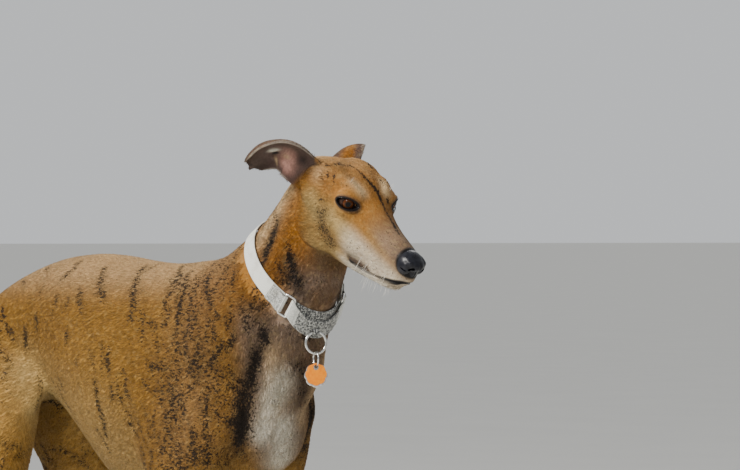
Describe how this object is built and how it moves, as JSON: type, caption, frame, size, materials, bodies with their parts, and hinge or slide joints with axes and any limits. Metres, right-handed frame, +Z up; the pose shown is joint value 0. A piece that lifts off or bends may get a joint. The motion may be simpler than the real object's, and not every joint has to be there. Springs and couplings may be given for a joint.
{
  "type": "greyhound",
  "caption": "Life-size still museum model of a brindle greyhound standing at ease, ears folded back, wearing a webbing collar with a ring and a plain scalloped tag.",
  "frame": {"origin": "on the floor, under the middle of the model's bounding box", "axes": "+X forward towards the nose, +Y to the dog's left, +Z up from the floor"},
  "size_m": [1.1312, 0.222, 0.8579],
  "materials": {
    "coat": "short flat brindle fur",
    "leather": "moist black nose leather",
    "eye": "wet gloss, amber brown",
    "horn": "smooth dark horn",
    "webbing": "woven grey webbing",
    "steel": "polished wire",
    "enamel": "orange enamel"
  },
  "bodies": {
    "root": {"claw_fore_left_1": "horn", "claw_fore_left_2": "horn", "claw_fore_left_3": "horn", "claw_fore_left_4": "horn", "claw_fore_right_1": "horn", "claw_fore_right_2": "horn", "claw_fore_right_3": "horn", "claw_fore_right_4": "horn", "claw_hind_left_1": "horn", "claw_hind_left_2": "horn", "claw_hind_left_3": "horn", "claw_hind_left_4": "horn", "claw_hind_right_1": "horn", "claw_hind_right_2": "horn", "claw_hind_right_3": "horn", "claw_hind_right_4": "horn", "collar_band": "webbing", "collar_loop": "webbing", "collar_ring": "steel", "collar_slide_left": "steel", "collar_slide_right": "steel", "dewclaw_left": "horn", "dewclaw_right": "horn", "ear_left": "coat", "ear_right": "coat", "eye_left": "eye", "eye_right": "eye", "fore_pastern_left": "coat", "fore_pastern_right": "coat", "foreleg_left": "coat", "foreleg_right": "coat", "forepaw_left": "coat", "forepaw_right": "coat", "gaskin_left": "coat", "gaskin_right": "coat", "head": "coat", "hind_pastern_left": "coat", "hind_pastern_right": "coat", "hindpaw_left": "coat", "hindpaw_right": "coat", "neck": "coat", "nose": "leather", "tag": "enamel", "tag_ring": "steel", "tail": "coat", "thigh_left": "coat", "thigh_right": "coat", "torso": "coat"}
  },
  "joints": []
}
